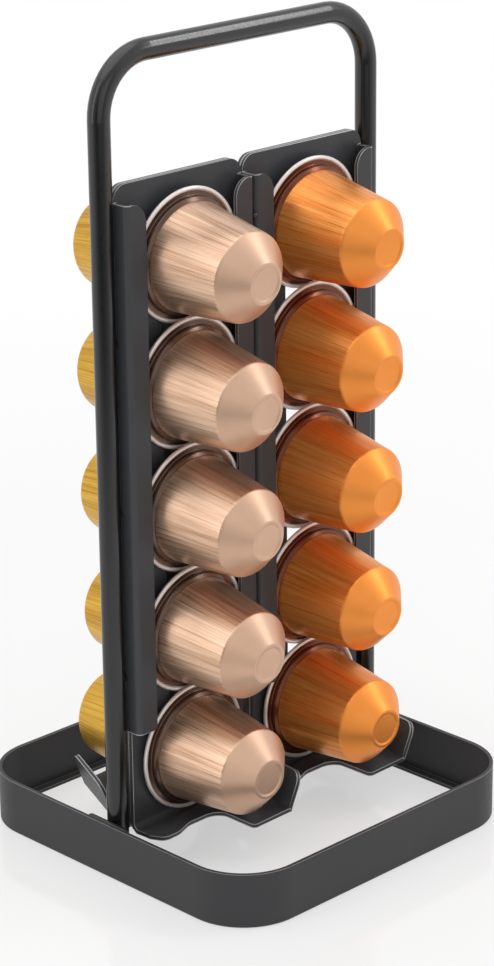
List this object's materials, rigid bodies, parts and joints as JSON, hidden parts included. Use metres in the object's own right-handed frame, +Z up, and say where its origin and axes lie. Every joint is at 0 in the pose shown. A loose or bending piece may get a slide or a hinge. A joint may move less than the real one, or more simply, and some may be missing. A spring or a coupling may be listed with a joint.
{
  "type": "coffee capsule holder",
  "caption": "Free-standing black metal rack with a square base ring, a rod handle and back-to-back sheet channels that hold small coffee capsules in columns above cradles.",
  "frame": {"origin": "middle of the base ring's underside, on the surface that the holder stands on", "axes": "+X to the right, -Y to the front with the rose and orange columns, +Z up"},
  "size_m": [0.1102, 0.1102, 0.2286],
  "materials": {
    "black_coat": "matt black powder coat",
    "rose_foil": "rose lacquered aluminium, brushed",
    "orange_foil": "orange lacquered aluminium, brushed",
    "gold_foil": "gold lacquered aluminium, brushed",
    "lid_foil": "plain silver foil",
    "ground_coffee": "ground roasted coffee"
  },
  "bodies": {
    "frame": {"base_ring": "black_coat", "handle_frame": "black_coat", "front_left_channel": "black_coat", "front_right_channel": "black_coat", "back_left_channel": "black_coat", "back_right_channel": "black_coat", "tack_welds": "black_coat", "foot_welds": "black_coat", "leg_spot_welds": "black_coat"},
    "rose_capsule_1": {"rose_cup_1": "rose_foil", "rose_coffee_1": "ground_coffee", "rose_lid_1": "lid_foil"},
    "rose_capsule_2": {"rose_cup_2": "rose_foil", "rose_coffee_2": "ground_coffee", "rose_lid_2": "lid_foil"},
    "rose_capsule_3": {"rose_cup_3": "rose_foil", "rose_coffee_3": "ground_coffee", "rose_lid_3": "lid_foil"},
    "rose_capsule_4": {"rose_cup_4": "rose_foil", "rose_coffee_4": "ground_coffee", "rose_lid_4": "lid_foil"},
    "rose_capsule_5": {"rose_cup_5": "rose_foil", "rose_coffee_5": "ground_coffee", "rose_lid_5": "lid_foil"},
    "orange_capsule_1": {"orange_cup_1": "orange_foil", "orange_coffee_1": "ground_coffee", "orange_lid_1": "lid_foil"},
    "orange_capsule_2": {"orange_cup_2": "orange_foil", "orange_coffee_2": "ground_coffee", "orange_lid_2": "lid_foil"},
    "orange_capsule_3": {"orange_cup_3": "orange_foil", "orange_coffee_3": "ground_coffee", "orange_lid_3": "lid_foil"},
    "orange_capsule_4": {"orange_cup_4": "orange_foil", "orange_coffee_4": "ground_coffee", "orange_lid_4": "lid_foil"},
    "orange_capsule_5": {"orange_cup_5": "orange_foil", "orange_coffee_5": "ground_coffee", "orange_lid_5": "lid_foil"},
    "gold_capsule_1": {"gold_cup_1": "gold_foil", "gold_coffee_1": "ground_coffee", "gold_lid_1": "lid_foil"},
    "gold_capsule_2": {"gold_cup_2": "gold_foil", "gold_coffee_2": "ground_coffee", "gold_lid_2": "lid_foil"},
    "gold_capsule_3": {"gold_cup_3": "gold_foil", "gold_coffee_3": "ground_coffee", "gold_lid_3": "lid_foil"},
    "gold_capsule_4": {"gold_cup_4": "gold_foil", "gold_coffee_4": "ground_coffee", "gold_lid_4": "lid_foil"},
    "gold_capsule_5": {"gold_cup_5": "gold_foil", "gold_coffee_5": "ground_coffee", "gold_lid_5": "lid_foil"}
  },
  "joints": [
    {"name": "rose_pull_1", "type": "slide", "parent": "frame", "child": "rose_capsule_1", "axis": [0, -0.9934, 0.1149], "range_m": [0, 0.032]},
    {"name": "rose_lift_2", "type": "slide", "parent": "frame", "child": "rose_capsule_2", "axis": [0, 0, 1], "range_m": [0, 0.004]},
    {"name": "rose_lift_3", "type": "slide", "parent": "rose_capsule_2", "child": "rose_capsule_3", "axis": [0, 0, 1], "range_m": [0, 0.004]},
    {"name": "rose_lift_4", "type": "slide", "parent": "rose_capsule_3", "child": "rose_capsule_4", "axis": [0, 0, 1], "range_m": [0, 0.004]},
    {"name": "rose_lift_5", "type": "slide", "parent": "rose_capsule_4", "child": "rose_capsule_5", "axis": [0, 0, 1], "range_m": [0, 0.02]},
    {"name": "orange_pull_1", "type": "slide", "parent": "frame", "child": "orange_capsule_1", "axis": [0, -0.9934, 0.1149], "range_m": [0, 0.032]},
    {"name": "orange_lift_2", "type": "slide", "parent": "frame", "child": "orange_capsule_2", "axis": [0, 0, 1], "range_m": [0, 0.004]},
    {"name": "orange_lift_3", "type": "slide", "parent": "orange_capsule_2", "child": "orange_capsule_3", "axis": [0, 0, 1], "range_m": [0, 0.004]},
    {"name": "orange_lift_4", "type": "slide", "parent": "orange_capsule_3", "child": "orange_capsule_4", "axis": [0, 0, 1], "range_m": [0, 0.004]},
    {"name": "orange_lift_5", "type": "slide", "parent": "orange_capsule_4", "child": "orange_capsule_5", "axis": [0, 0, 1], "range_m": [0, 0.02]},
    {"name": "gold_pull_1", "type": "slide", "parent": "frame", "child": "gold_capsule_1", "axis": [0, 0.9934, 0.1149], "range_m": [-0.0045, 0.0275]},
    {"name": "gold_lift_2", "type": "slide", "parent": "frame", "child": "gold_capsule_2", "axis": [0, 0, 1], "range_m": [0, 0.004]},
    {"name": "gold_lift_3", "type": "slide", "parent": "gold_capsule_2", "child": "gold_capsule_3", "axis": [0, 0, 1], "range_m": [0, 0.004]},
    {"name": "gold_lift_4", "type": "slide", "parent": "gold_capsule_3", "child": "gold_capsule_4", "axis": [0, 0, 1], "range_m": [0, 0.004]},
    {"name": "gold_lift_5", "type": "slide", "parent": "gold_capsule_4", "child": "gold_capsule_5", "axis": [0, 0, 1], "range_m": [0, 0.02]}
  ]
}
